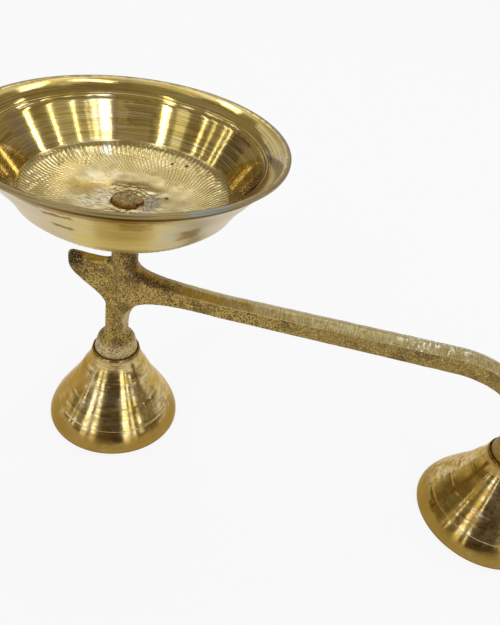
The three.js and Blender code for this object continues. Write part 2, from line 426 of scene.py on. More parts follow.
def handle_outline():
    rear_left = FEET_SPACING - LEG_HALF
    rear_right = FEET_SPACING + LEG_HALF
    neck_half = STEM_RADIUS - CASTING_BEVEL
    neck_left = STEM_SHIFT - neck_half
    neck_right = STEM_SHIFT + neck_half
    quarter = 4 * (math.sqrt(2) - 1) / 3
    points = [(-LEG_HALF, LEG_FOOT_HEIGHT), (LEG_HALF, LEG_FOOT_HEIGHT), (LEG_HALF, ARMPIT_HEIGHT)]
    points += bezier(
        points[-1], (LEG_HALF, ARMPIT_HEIGHT + ARMPIT_PULL_UP),
        (BAR_START - ARMPIT_PULL_BACK, BAR_UNDER_FRONT), (BAR_START, BAR_UNDER_FRONT),
    )
    points.append((BEND_START, BAR_UNDER_REAR))
    points += bezier(
        points[-1], (BEND_START + quarter * (rear_left - BEND_START), BAR_UNDER_REAR),
        (rear_left, BEND_FOOT_HEIGHT + quarter * (BAR_UNDER_REAR - BEND_FOOT_HEIGHT)),
        (rear_left, BEND_FOOT_HEIGHT),
    )
    points += [(rear_left, LEG_FOOT_HEIGHT), (rear_right, LEG_FOOT_HEIGHT)]
    points.append((rear_right, BEND_FOOT_HEIGHT))
    points += bezier(
        points[-1], (rear_right, BEND_FOOT_HEIGHT + quarter * (BAR_TOP_REAR - BEND_FOOT_HEIGHT)),
        (BEND_START + quarter * (rear_right - BEND_START), BAR_TOP_REAR), (BEND_START, BAR_TOP_REAR),
    )
    points.append((BAR_START, BAR_TOP_FRONT))
    points += bezier(
        points[-1], (BAR_START - NECK_PULL_BACK, BAR_TOP_FRONT),
        (neck_right, NECK_HEIGHT - NECK_PULL_DOWN), (neck_right, NECK_HEIGHT),
    )
    points.append((neck_left, NECK_HEIGHT))
    return points + beak_outline(points[-1])


def beak_outline(neck):
    """From the stem's left side over the beak's top, round its tip and down to the front leg."""
    tip_low = (-BEAK_REACH, BEAK_TIP_HEIGHT - BEAK_TIP_ROUND)
    tip_top = (BEAK_TIP_ROUND - BEAK_REACH, BEAK_TIP_HEIGHT)
    tip_corner = (-BEAK_REACH, BEAK_TIP_HEIGHT)
    dip = (neck[0] - BEAK_DIP_REACH, BEAK_DIP_HEIGHT)
    points = bezier(neck, (neck[0], BEAK_DIP_HEIGHT), dip, tip_top)
    points += bezier(tip_top, tip_corner, tip_corner, tip_low, BEAK_TIP_STEPS)
    points += bezier(
        tip_low, (-BEAK_REACH, tip_low[1] - BEAK_PULL_DOWN),
        (-LEG_HALF, BEAK_ROOT_HEIGHT + BEAK_ROOT_PULL_UP), (-LEG_HALF, BEAK_ROOT_HEIGHT),
    )
    return points


def grown(points, offset):
    """The outline moved outwards by offset, with mitred corners; points run anticlockwise."""
    moved = []
    for i, here in enumerate(points):
        before = (Vector(here) - Vector(points[i - 1])).normalized()
        after = (Vector(points[(i + 1) % len(points)]) - Vector(here)).normalized()
        normal = Vector((before.y + after.y, -before.x - after.x)).normalized()
        spread = max(normal.dot(Vector((after.y, -after.x))), 0.5)
        moved.append(Vector(here) + normal * offset / spread)
    return moved


def beak_share(x, z):
    """How thick the casting is at a point of its side face, as a share of its full thickness."""
    reach = min(max(-x / BEAK_REACH, 0), 1)
    rise = min(max((z - BEAK_CHEEK_HEIGHT) / (BEAK_TOP_HEIGHT - BEAK_CHEEK_HEIGHT), 0), 1)
    if reach <= 0:
        return 1
    cheek = CASTING_THICKNESS + (BEAK_TIP_THICKNESS - CASTING_THICKNESS) * reach
    return (cheek + (BEAK_EDGE_THICKNESS - cheek) * rise) / CASTING_THICKNESS


def add_handle_body(bm):
    """Flat-sided bar with a bevel above and below that meet on the parting line."""
    face = [Vector(p) for p in handle_outline()]
    middle = grown(face, CASTING_BEVEL)
    half = CASTING_THICKNESS / 2
    rings = ((face, -half), (middle, -PARTING_BAND / 2), (middle, PARTING_BAND / 2), (face, half))
    loops = []
    for points, y in rings:
        loop = []
        for p in points:
            place = ((FRONT_X + p.x) * MM, y * beak_share(p.x, p.y) * MM, (FOOT_SEAT + p.y) * MM)
            loop.append(bm.verts.new(place))
        loops.append(loop)
    for lower, upper in zip(loops, loops[1:]):
        band(bm, lower, upper, 0)
    for loop in (loops[0], loops[-1]):
        bmesh.ops.triangulate(bm, faces=[bm.faces.new(loop)])


def add_turned(bm, outline, centre_x, base_z):
    """A small closed turned form, for the collars and the stem."""
    loops = []
    for radius, height in outline:
        loops.append(turned_loop(bm, radius, height, SMALL_TURN_SIDES, centre_x, base_z))
    for lower, upper in zip(loops, loops[1:]):
        band(bm, lower, upper, 0)
    bm.faces.new(loops[0][::-1])
    bm.faces.new(loops[-1])


def collar_outline():
    seat = -FOOT_CROWN_THICKNESS
    return [
        (FOOT_HEAD_RADIUS - HEAD_EDGE, seat - FOOT_HEAD_HEIGHT),
        (FOOT_HEAD_RADIUS, seat - FOOT_HEAD_HEIGHT + HEAD_EDGE),
        (FOOT_HEAD_RADIUS, seat),
        (FOOT_TENON_RADIUS, seat),
        (FOOT_TENON_RADIUS, 0),
        (COLLAR_RADIUS - COLLAR_EDGE, 0),
        (COLLAR_RADIUS, COLLAR_EDGE),
        (COLLAR_RADIUS, SOCKET_DEPTH + COLLAR_EDGE),
        *bow(COLLAR_WAIST, COLLAR_SHOULDER, COLLAR_SHOULDER_BULGE, 10),
        (LEG_HALF, COLLAR_ROOT_HEIGHT),
    ]


def stem_outline():
    head_seat = STEM_HEIGHT + FLOOR_LEVEL
    return [
        STEM_ROOT,
        (STEM_RADIUS, NECK_HEIGHT),
        (STEM_RADIUS, STEM_HEIGHT - STEM_SEAT_FLARE),
        (STEM_SEAT_RADIUS, STEM_HEIGHT - STEM_SEAT_LAND),
        (STEM_SEAT_RADIUS, STEM_HEIGHT),
        (BOWL_TENON_RADIUS, STEM_HEIGHT),
        (BOWL_TENON_RADIUS, head_seat + 0.6),
    ]


def remeshed(piece, voxel):
    """One closed skin around the overlapping forms of a piece, with small soft fillets."""
    remesh = piece.modifiers.new("skin", "REMESH")
    remesh.mode = "VOXEL"
    remesh.voxel_size = voxel * MM
    remesh.use_smooth_shade = True
    soften = piece.modifiers.new("soften", "SMOOTH")
    soften.factor = 0.5
    soften.iterations = CASTING_SOFTENING
    bpy.context.view_layer.update()
    ready = piece.evaluated_get(bpy.context.evaluated_depsgraph_get())
    mesh = bpy.data.meshes.new_from_object(ready)
    piece.modifiers.clear()
    piece.data = mesh
    return piece


def cast_lumps(piece):
    """Shallow sand-cast unevenness, pushed along the normals."""
    vertices = piece.data.vertices
    moved = []
    for vertex in vertices:
        spot = vertex.co / MM
        lump = CAST_LUMP * noise.noise(spot * 0.28) + CAST_RIPPLE * noise.noise(spot * 0.9)
        moved.append(vertex.co + vertex.normal * (lump * MM))
    for vertex, place in zip(vertices, moved):
        vertex.co = place


def make_casting():
    bm = bmesh.new()
    add_handle_body(bm)
    add_turned(bm, stem_outline(), BOWL_X, FOOT_SEAT)
    for centre_x in (FRONT_X, REAR_X):
        add_turned(bm, collar_outline(), centre_x, FOOT_SEAT)
    bmesh.ops.recalc_face_normals(bm, faces=bm.faces)
    piece = remeshed(to_object(bm, "cast_handle"), CASTING_VOXEL)
    cast_lumps(piece)
    return piece


def make_head():
    """The bowl tenon's head, hammered over into a lumpy disc with a cleft at its side."""
    seat = FLOOR_LEVEL - BOWL_HEAD_SINK
    top = FLOOR_LEVEL + BOWL_HEAD_HEIGHT
    cheek = (BOWL_HEAD_RADIUS, seat + BOWL_HEAD_CHEEK)
    inset, drop = BOWL_HEAD_SHOULDER
    outline = [(BOWL_TENON_RADIUS, seat), (BOWL_HEAD_RADIUS - 0.3, seat), cheek]
    outline += bow(cheek, (BOWL_HEAD_RADIUS - inset, top - drop), 0.25, 8)[1:]
    outline += straight((BOWL_HEAD_RADIUS - 1.1, top - 0.2), (0.3, top - 0.15), 20)
    piece = turned_mesh("hammered_head", ringed(outline, BOWL_HEAD_SIDES, 0), 0, 0, False)
    for vertex in piece.data.vertices:
        spot = vertex.co / MM
        flat = Vector((spot.x, spot.y, 0))
        squash = 1 + 0.16 * noise.noise(flat.normalized() * 1.5 + Vector((4, 0, 0)))
        squash += 0.05 * noise.noise(flat.normalized() * 5)
        dent = 0.45 * noise.noise(flat * 0.4) + 0.22 * noise.noise(flat * 1.0)
        away = (flat - around(CLEFT_AZIMUTH, BOWL_HEAD_RADIUS - 1, 0)).length
        dent -= CLEFT_DEPTH * (1 - smooth_step(0.2, 1.3, away))
        rise = dent * smooth_step(seat, top - 0.4, spot.z)
        stretch_x, stretch_y = BOWL_HEAD_STRETCH
        height = min(spot.z + rise, top + 0.15)
        place = Vector((spot.x * squash * stretch_x, spot.y * squash * stretch_y, height))
        vertex.co = (place + Vector((BOWL_X, 0, BOWL_BOTTOM))) * MM
    return piece


# Material graphs.

# Sockets of the mix node for each kind of value: first input, second input and output.
MIX_SOCKETS = {"FLOAT": (2, 3, 0), "VECTOR": (4, 5, 1), "RGBA": (6, 7, 2)}
QUARTER_TURN = 0.25
COAT_ROUGHNESS = 0.14


class Graph:
    """Short helpers over one material's nodes."""

    def __init__(self, name):
        self.material = bpy.data.materials.new(name)
        self.material.use_nodes = True
        self.nodes = self.material.node_tree.nodes
        self.links = self.material.node_tree.links
        self.nodes.clear()
        self.shader = self.nodes.new("ShaderNodeBsdfPrincipled")
        output = self.nodes.new("ShaderNodeOutputMaterial")
        self.links.new(self.shader.outputs[0], output.inputs[0])

    def put(self, value, socket):
        if hasattr(value, "is_output"):
            self.links.new(value, socket)
        elif isinstance(value, (tuple, list)) and len(value) == 3 and socket.type == "RGBA":
            socket.default_value = (*value, 1)
        else:
            socket.default_value = value

    def math(self, operation, a, b=0.0, clamp=False):
        node = self.nodes.new("ShaderNodeMath")
        node.operation = operation
        node.use_clamp = clamp
        self.put(a, node.inputs[0])
        self.put(b, node.inputs[1])
        return node.outputs[0]

    def times(self, a, b):
        return self.math("MULTIPLY", a, b)

    def vector(self, operation, a, b=(0, 0, 0)):
        node = self.nodes.new("ShaderNodeVectorMath")
        node.operation = operation
        self.put(a, node.inputs[0])
        self.put(b, node.inputs[1])
        return node.outputs["Value"] if operation in ("LENGTH", "DISTANCE") else node.outputs[0]

    def scaled(self, vector, factor):
        node = self.nodes.new("ShaderNodeVectorMath")
        node.operation = "SCALE"
        self.put(vector, node.inputs[0])
        self.put(factor, node.inputs["Scale"])
        return node.outputs[0]

    def place(self, centre=(0, 0, 0)):
        """Object coordinates in millimetres, measured from centre."""
        coordinates = self.nodes.new("ShaderNodeTexCoord").outputs["Object"]
        return self.vector("SUBTRACT", self.scaled(coordinates, 1 / MM), centre)

    def normal(self):
        return self.nodes.new("ShaderNodeTexCoord").outputs["Normal"]

    def split(self, vector):
        node = self.nodes.new("ShaderNodeSeparateXYZ")
        self.put(vector, node.inputs[0])
        return node.outputs

    def join(self, x, y, z):
        node = self.nodes.new("ShaderNodeCombineXYZ")
        for value, socket in zip((x, y, z), node.inputs):
            self.put(value, socket)
        return node.outputs[0]

    def noise(self, vector, scale, detail=2.0, rough=0.5, distortion=0.0):
        node = self.nodes.new("ShaderNodeTexNoise")
        self.put(vector, node.inputs["Vector"])
        node.inputs["Scale"].default_value = scale
        node.inputs["Detail"].default_value = detail
        node.inputs["Roughness"].default_value = rough
        node.inputs["Distortion"].default_value = distortion
        return node.outputs[0]

    def noise_colour(self, vector, scale):
        """Three noises at once, to shift a place about."""
        node = self.nodes.new("ShaderNodeTexNoise")
        self.put(vector, node.inputs["Vector"])
        node.inputs["Scale"].default_value = scale
        return node.outputs["Color"]

    def cells(self, vector, scale):
        node = self.nodes.new("ShaderNodeTexVoronoi")
        self.put(vector, node.inputs["Vector"])
        node.inputs["Scale"].default_value = scale
        return node.outputs["Distance"]

    def step(self, value, low, high):
        """0 below low, 1 above high, smooth between; low above high turns it round."""
        node = self.nodes.new("ShaderNodeMapRange")
        node.interpolation_type = "SMOOTHSTEP"
        self.put(value, node.inputs["Value"])
        start, end = (0, 1) if low < high else (1, 0)
        node.inputs["From Min"].default_value = min(low, high)
        node.inputs["From Max"].default_value = max(low, high)
        node.inputs["To Min"].default_value = start
        node.inputs["To Max"].default_value = end
        return node.outputs["Result"]

    def span(self, value, low, high, soft):
        """1 between low and high, fading to 0 over soft on each side."""
        up = self.step(value, low - soft, low)
        down = self.step(value, high + soft, high)
        return self.times(up, down)

    def between(self, kind, share, a, b):
        node = self.nodes.new("ShaderNodeMix")
        node.data_type = kind
        first, second, result = MIX_SOCKETS[kind]
        self.put(share, node.inputs[0])
        self.put(a, node.inputs[first])
        self.put(b, node.inputs[second])
        return node.outputs[result]

    def mix(self, share, a, b):
        """A colour between a and b."""
        return self.between("RGBA", share, a, b)

    def blend(self, share, a, b):
        """A number between a and b."""
        return self.between("FLOAT", share, a, b)

    def tint(self, colour, share, strength, shade):
        """Covers a share of the colour with a shade, up to strength."""
        return self.mix(self.times(share, strength), colour, shade)

    def spot(self, place, centre, radii):
        """1 in the middle of an ellipsoid, fading to 0 at its surface."""
        away = self.vector("DIVIDE", self.vector("SUBTRACT", place, tuple(centre)), radii)
        return self.step(self.vector("LENGTH", away), 1.0, 0.45)

    def bump(self, height, depth, before=None):
        """Depth is the relief in millimetres for a height from 0 to 1."""
        node = self.nodes.new("ShaderNodeBump")
        self.put(height, node.inputs["Height"])
        node.inputs["Distance"].default_value = depth * MM
        if before is not None:
            self.put(before, node.inputs["Normal"])
        return node.outputs[0]

    def finish(self, colour, roughness, normal):
        self.put(colour, self.shader.inputs["Base Color"])
        self.put(roughness, self.shader.inputs["Roughness"])
        self.put(normal, self.shader.inputs["Normal"])
        self.shader.inputs["Metallic"].default_value = 1
        return self.material


def turned_coordinates(graph, centre_x):
    """Radius, height and angle in degrees of a surface point about a vertical axis."""
    x, y, z = graph.split(graph.place((centre_x, 0, 0)))
    square = graph.math("ADD", graph.times(x, x), graph.times(y, y))
    radius = graph.math("SQRT", square)
    turn = graph.times(graph.math("ARCTAN2", y, x), math.degrees(1))
    return radius, z, turn


def lathe_lines(graph, radius, height, turn, pitch):
    """Fine tool lines that run round the axis and vary a little along their length."""
    track = graph.times(graph.math("ADD", radius, height), 1 / pitch)
    slow = graph.times(turn, 0.02)
    return graph.noise(graph.join(track, slow, 0), 1.0, 3.0, 0.6)


def lined(graph, colour, lines, tints):
    """Tints the high or low tool lines; each tint gives low, high, strength and shade."""
    for low, high, strength, shade in tints:
        colour = graph.tint(colour, graph.step(lines, low, high), strength, shade)
    return colour


def ragged(graph, value, place, scale, reach):
    """A coordinate with a wandering error of up to about half of reach, for uneven edges."""
    drift = graph.math("SUBTRACT", graph.noise(place, scale, 3.0, 0.6), 0.5)
    return graph.math("ADD", value, graph.times(drift, reach))


def shaken(graph, place, scale, reach):
    """A place with a wandering error of up to about half of reach along each axis."""
    drift = graph.vector("SUBTRACT", graph.noise_colour(place, scale), (0.5, 0.5, 0.5))
    return graph.vector("ADD", place, graph.scaled(drift, reach))


def set_turned_gloss(graph, anisotropy, coat):
    """Reflections stretched across the tool lines, under a thin clear lacquer."""
    tangent = graph.nodes.new("ShaderNodeTangent")
    tangent.direction_type = "RADIAL"
    tangent.axis = "Z"
    for socket, value in (
        ("Tangent", tangent.outputs[0]),
        ("Anisotropic", anisotropy),
        ("Anisotropic Rotation", QUARTER_TURN),
        ("Coat Weight", coat),
        ("Coat Roughness", COAT_ROUGHNESS),
    ):
        graph.put(value, graph.shader.inputs[socket])


BRASS = (0.67, 0.485, 0.11)
PALE_BRASS = (0.78, 0.66, 0.40)
DEEP_BRASS = (0.52, 0.345, 0.075)
GILT = (0.55, 0.35, 0.035)
TARNISH_AND_SHADE = (0.11, 0.06, 0.015)
PINK_TARNISH = (0.46, 0.33, 0.24)
VERDIGRIS = (0.24, 0.33, 0.32)
RIM_GREY = (0.27, 0.195, 0.07)
DULL_CREAM = (0.55, 0.46, 0.25)
CAST_BRASS = (0.56, 0.39, 0.11)
CAST_PIT = (0.10, 0.055, 0.015)
CAST_GLINT = (0.85, 0.67, 0.30)
BROWN_SKIN_AND_SHADE = (0.10, 0.052, 0.02)
BURNT_AND_SHADE = (0.035, 0.022, 0.012)
FILED_BRASS = (0.56, 0.43, 0.18)
FLOOR_BRASS = (0.68, 0.55, 0.26)
FLOOR_DULL = (0.54, 0.41, 0.16)
WORN_AND_HIGHLIGHT_BRASS = (0.97, 0.90, 0.72)
FOOT_BRASS = (0.64, 0.51, 0.25)
FOOT_PALE = (0.78, 0.70, 0.50)
FOOT_TARNISH = (0.22, 0.115, 0.03)
SMUDGE_AND_SHADE_BROWN = (0.34, 0.20, 0.03)
FLOOR_GREY = (0.50, 0.42, 0.30)
FOOT_REFLECTION_GOLD = (0.66, 0.49, 0.09)
LOW_DARK_REFLECTION = (0.30, 0.18, 0.03)
FOOT_GRAZING = (0.86, 0.72, 0.5)
CAST_SHADE = (0.29, 0.20, 0.06)
COLLAR_TAN = (0.70, 0.56, 0.29)
FILED_DARK = (0.42, 0.31, 0.11)
FILED_LIGHT = (0.64, 0.52, 0.26)
HEAD_DARK = (0.24, 0.15, 0.05)
HEAD_LIGHT = (0.48, 0.36, 0.16)
HEAD_EDGE_SHADE = (0.34, 0.16, 0.03)
CARD_BROWN = (0.15, 0.105, 0.07)
ROOM_GREY = (0.30, 0.28, 0.235)
WHITE = (1, 1, 1)

# Stains and painted shade on the casting, from the front foot's seat: centre, radii, strength and
# colour.
CAST_STAINS = (
    ((14, -2, 40), (13, 6, 3), 0.5, GILT),
    # Painted shade: the brown patch over the stem's right side.
    ((4.5, -4, 50), (7, 8, 8), 0.9, BROWN_SKIN_AND_SHADE),
    ((6.2, -3.7, 42.5), (3.4, 5, 6), 0.95, BROWN_SKIN_AND_SHADE),
    ((9, -3.7, 38.4), (4.5, 4, 2.6), 0.95, BROWN_SKIN_AND_SHADE),
    ((17, -3.7, 36.8), (13, 3, 1.4), 0.95, BROWN_SKIN_AND_SHADE),
    ((4, -4, 24), (4.5, 5, 3.5), 0.75, BROWN_SKIN_AND_SHADE),
    ((1, -4, 15), (3, 5, 8), 0.5, BROWN_SKIN_AND_SHADE),
    ((3.5, -6, 7), (3, 5, 4), 0.75, BROWN_SKIN_AND_SHADE),
    ((4.4, -2, 17), (1.6, 4, 7), 0.9, DULL_CREAM),
    ((-8, 0, 40.3), (9, 4, 1.7), 0.65, GILT),
    ((-2.8, -3, 41.2), (1.7, 4, 1.8), 0.9, BURNT_AND_SHADE),
    ((-14.6, -3, 36.6), (6.5, 7, 6), 0.6, BROWN_SKIN_AND_SHADE),
    ((-15.8, -3, 38.4), (5, 7, 3.4), 0.95, BURNT_AND_SHADE),
    ((149, -5, 4), (9, 9, 8), 0.8, SMUDGE_AND_SHADE_BROWN),
)
# Stains on the bowl's inside: azimuths, radii, strength and colour.
INSIDE_STAINS = (
    ((22, 37), (33, 42), 0.7, GILT),
    ((40, 51), (34.5, 41.5), 0.85, TARNISH_AND_SHADE),
    ((100, 111), (37.4, 41.4), 0.6, TARNISH_AND_SHADE),
    ((171, 176), (35, 42.5), 0.7, PINK_TARNISH),
    ((4, 14), (44.6, 47.2), 0.7, PINK_TARNISH),
    ((120, 129), (35.5, 43.5), 0.3, WORN_AND_HIGHLIGHT_BRASS),
    ((15, 27), (43.4, 44.4), 0.85, TARNISH_AND_SHADE),
)
# Pits in the bowl's floor: azimuth, distance from its middle and size.
FLOOR_PITS = ((36.8, 13.4, 1.1), (68, 29.8, 1), (78.5, 28.4, 0.8), (164.5, 28.3, 0.7))
PIT_DEPTH_REACH = 14
# Rough, creamy and dark patches on the floor, from its middle: centre and radii.
FLOOR_ROUGH = ((7.3, 1.6, 0), (4.4, 8, 4))
FLOOR_CREAMY = ((-10.5, -1.5, 0), (9, 10, 4))
FLOOR_DARK = ((-16, 2, 0), (7, 7, 6))
# Bright patches painted on the floor as glare, from its middle: centre, radii and strength.
FLOOR_GLARE = (
    ((7.7, 9.2, 0), (4.5, 3, 4), 0.5),
    ((-10.5, 14, 0), (3, 7, 4), 0.2),
    ((-18.2, 25, 0), (4, 5, 8), 0.9),
    ((-16, 11, 0), (6, 4.5, 4), 0.2),
)
# Azimuths of the green spot on the rim, and on the outside, of the gold patch that is a painted
# reflection of the foot and stem and of the band of painted shade under the rim.
GREEN_TURN = (-49, -39)
FOOT_REFLECTION_TURN = (-84, -62)
SHADE_TURN = (-98, -60)
# Smudges on the bowl's outside: azimuths, heights above the table and strength.
OUTSIDE_SMUDGES = (
    ((-97, -88), (112.8, 113.8), 0.85),
    ((-97, -90), (106.8, 107.8), 0.85),
    ((-70, -63), (111.5, 114.2), 0.5),
    ((-46, -40), (104, 109), 0.6),
)
# Azimuths of the brown side of each foot and of its brown left edge.
FOOT_SIDE_TURN = (-165, -118)
FOOT_EDGE_TURN = (-178, -142)
# Along the casting, from the front foot: where the bar gets darker, where its bevel is filed,
# gilt and nicked, with the nicks painted as glints, and where the collars are still pale.
BAR_DARKENS = (45, 80)
FILED_FROM = (17, 30)
GILT_LENGTH = (18, 44)
GLINT_NICK_LENGTH = (103, 118)
PALE_COLLARS = (90, 60)
# Heights above the foot's seat.
FILED_ABOVE = (24, 27)
COLLARS_BELOW = (8, 5)


def bowl_inside_material():
    graph = Graph("turned_brass_inside")
    radius, height, turn = turned_coordinates(graph, BOWL_X)
    place = graph.place()
    lines = lathe_lines(graph, radius, height, turn, 0.5)
    colour = graph.mix(graph.step(graph.noise(place, 0.09, 3.0), 0.35, 0.7), BRASS, DEEP_BRASS)
    bands = lathe_lines(graph, radius, height, turn, 1.7)
    colour = lined(graph, colour, lines, ((0.5, 0.66, 0.65, PALE_BRASS), (0.48, 0.32, 0.4, TARNISH_AND_SHADE)))
    colour = lined(
        graph, colour, bands, ((0.52, 0.64, 0.4, PALE_BRASS), (0.46, 0.36, 0.45, SMUDGE_AND_SHADE_BROWN))
    )
    wandering_turn = ragged(graph, turn, place, 0.35, 12)
    wandering_radius = ragged(graph, radius, place, 0.5, 2.5)
    for (start, end), (inner, outer), strength, shade in INSIDE_STAINS:
        stain = graph.span(wandering_turn, start, end, 3)
        stain = graph.times(stain, graph.span(wandering_radius, inner, outer, 0.7))
        stain = graph.times(stain, graph.step(lines, 0.66, 0.4))
        colour = graph.tint(colour, stain, strength, shade)
    land = graph.step(wandering_radius, RIM_RADIUS - RIM_LAND - 0.3, RIM_RADIUS - RIM_LAND + 0.3)
    colour = graph.tint(colour, land, 0.9, RIM_GREY)
    green = graph.times(land, graph.span(wandering_turn, *GREEN_TURN, 4))
    colour = graph.tint(colour, green, 0.5, VERDIGRIS)
    set_turned_gloss(graph, 0.4, 0.3)
    waves = graph.bump(graph.noise(place, 0.4, 2.0), 0.015)
    roughness = graph.blend(land, graph.blend(graph.noise(place, 0.2), 0.08, 0.13), 0.4)
    relief = graph.bump(bands, 0.012, graph.bump(lines, 0.005, waves))
    return graph.finish(colour, roughness, relief)


def rib_valleys(graph, radius, turn):
    """1 in the valleys between the floor's chatter ribs, which hold the tarnish."""
    inward = graph.math("MINIMUM", graph.math("SUBTRACT", radius, RIB_SLANT_RADIUS), 0)
    lean = graph.times(inward, math.degrees(RIB_SLANT_PER_MM))
    phase = graph.times(graph.math("SUBTRACT", turn, lean), math.radians(RIB_COUNT))
    valley = graph.step(graph.math("COSINE", phase), 0.1, -0.8)
    return graph.times(valley, graph.span(radius, RIB_INNER_RADIUS, RIB_OUTER_RADIUS, 0.8))


def bowl_floor_material():
    graph = Graph("turned_brass_floor")
    radius, height, turn = turned_coordinates(graph, BOWL_X)
    place = graph.place()
    lines = lathe_lines(graph, radius, height, turn, 0.4)
    grain = graph.noise(place, 1.3, 4.0, 0.6)
    colour = graph.mix(graph.step(graph.noise(place, 0.12, 3.0), 0.35, 0.65), FLOOR_BRASS, FLOOR_DULL)
    colour = graph.tint(colour, rib_valleys(graph, radius, turn), 0.6, DEEP_BRASS)
    middle = graph.place((BOWL_X, 0, BOWL_BOTTOM + FLOOR_LEVEL))
    rough = graph.spot(middle, *FLOOR_ROUGH)
    rough_grain = graph.times(rough, graph.step(grain, 0.52, 0.42))
    colour = graph.tint(colour, rough, 0.75, FLOOR_GREY)
    colour = graph.tint(colour, rough_grain, 0.7, BROWN_SKIN_AND_SHADE)
    creamy = graph.spot(middle, *FLOOR_CREAMY)
    streaks = graph.noise(graph.vector("MULTIPLY", middle, (0.35, 1.2, 1)), 1.1, 4.0, 0.6)
    pale_streaks = graph.times(creamy, graph.step(streaks, 0.45, 0.56))
    brown_streaks = graph.times(creamy, graph.step(streaks, 0.46, 0.38))
    colour = graph.tint(colour, pale_streaks, 0.95, WORN_AND_HIGHLIGHT_BRASS)
    colour = graph.tint(colour, brown_streaks, 0.7, SMUDGE_AND_SHADE_BROWN)
    wandering_middle = shaken(graph, middle, 0.35, 7)
    # Painted highlight: near-white patches where the floor shows glare.
    for centre, radii, strength in FLOOR_GLARE:
        colour = graph.tint(colour, graph.spot(wandering_middle, centre, radii), strength, WORN_AND_HIGHLIGHT_BRASS)
    colour = graph.tint(colour, graph.spot(wandering_middle, *FLOOR_DARK), 0.75, DEEP_BRASS)
    for azimuth, distance, size in FLOOR_PITS:
        pit = graph.spot(middle, around(azimuth, distance, 0), (size, size, PIT_DEPTH_REACH))
        colour = graph.tint(colour, pit, 0.95, BURNT_AND_SHADE)
    set_turned_gloss(graph, 0.3, 0.3)
    matt = graph.math("MAXIMUM", rough, creamy)
    relief = graph.bump(graph.times(streaks, matt), 0.4, graph.bump(lines, 0.008))
    return graph.finish(colour, graph.blend(matt, 0.22, 0.42), relief)


def bowl_outside_material():
    graph = Graph("turned_brass_outside")
    radius, height, turn = turned_coordinates(graph, BOWL_X)
    place = graph.place()
    lines = lathe_lines(graph, radius, height, turn, 0.9)
    wandering_turn = ragged(graph, turn, place, 0.12, 30)
    # Painted reflection: a gold patch where the wall mirrors the foot and stem below.
    foot_reflection = graph.span(wandering_turn, *FOOT_REFLECTION_TURN, 16)
    colour = graph.mix(graph.step(graph.noise(place, 0.08, 2.0), 0.35, 0.65), DULL_CREAM, FILED_BRASS)
    colour = graph.tint(colour, foot_reflection, 0.75, FOOT_REFLECTION_GOLD)
    colour = lined(
        graph, colour, lines, ((0.52, 0.66, 0.35, SMUDGE_AND_SHADE_BROWN), (0.46, 0.36, 0.2, PALE_BRASS))
    )
    streaky = ragged(graph, turn, graph.vector("MULTIPLY", place, (1, 1, 3)), 0.4, 10)
    smeared = ragged(graph, height, place, 0.4, 3)
    grazing = WHITE
    for (start, end), (low, high), strength in OUTSIDE_SMUDGES:
        smudge = graph.span(streaky, start, end, 3)
        smudge = graph.times(smudge, graph.span(smeared, low, high, 0.6))
        colour = graph.tint(colour, smudge, strength, SMUDGE_AND_SHADE_BROWN)
        grazing = graph.tint(grazing, smudge, strength * 0.6, SMUDGE_AND_SHADE_BROWN)
    edge = BOWL_BOTTOM + BOWL_HEIGHT - RIM_EDGE_HEIGHT
    # Painted shade: a brown band on the wall just under the rim, at the front.
    shade_band = graph.span(smeared, edge - 3, edge + 1, 1)
    shade_band = graph.times(shade_band, graph.span(streaky, *SHADE_TURN, 8))
    colour = graph.tint(colour, shade_band, 0.8, SMUDGE_AND_SHADE_BROWN)
    grazing = graph.tint(grazing, shade_band, 0.4, SMUDGE_AND_SHADE_BROWN)
    # Painted shadow: a dark line right under the rim's edge.
    shadow_under_rim = graph.span(height, edge - 1.5, edge + 0.1, 0.5)
    shadow_under_rim = graph.times(shadow_under_rim, graph.step(streaky, -110, -80))
    colour = graph.tint(colour, shadow_under_rim, 0.9, TARNISH_AND_SHADE)
    grazing = graph.tint(grazing, shadow_under_rim, 0.6, SMUDGE_AND_SHADE_BROWN)
    graph.put(grazing, graph.shader.inputs["Specular Tint"])
    land = graph.step(height, edge + 0.1, edge + 0.5)
    colour = graph.tint(colour, land, 0.8, RIM_GREY)
    set_turned_gloss(graph, 0.6, 0.05)
    return graph.finish(colour, 0.3, graph.bump(lines, 0.02))


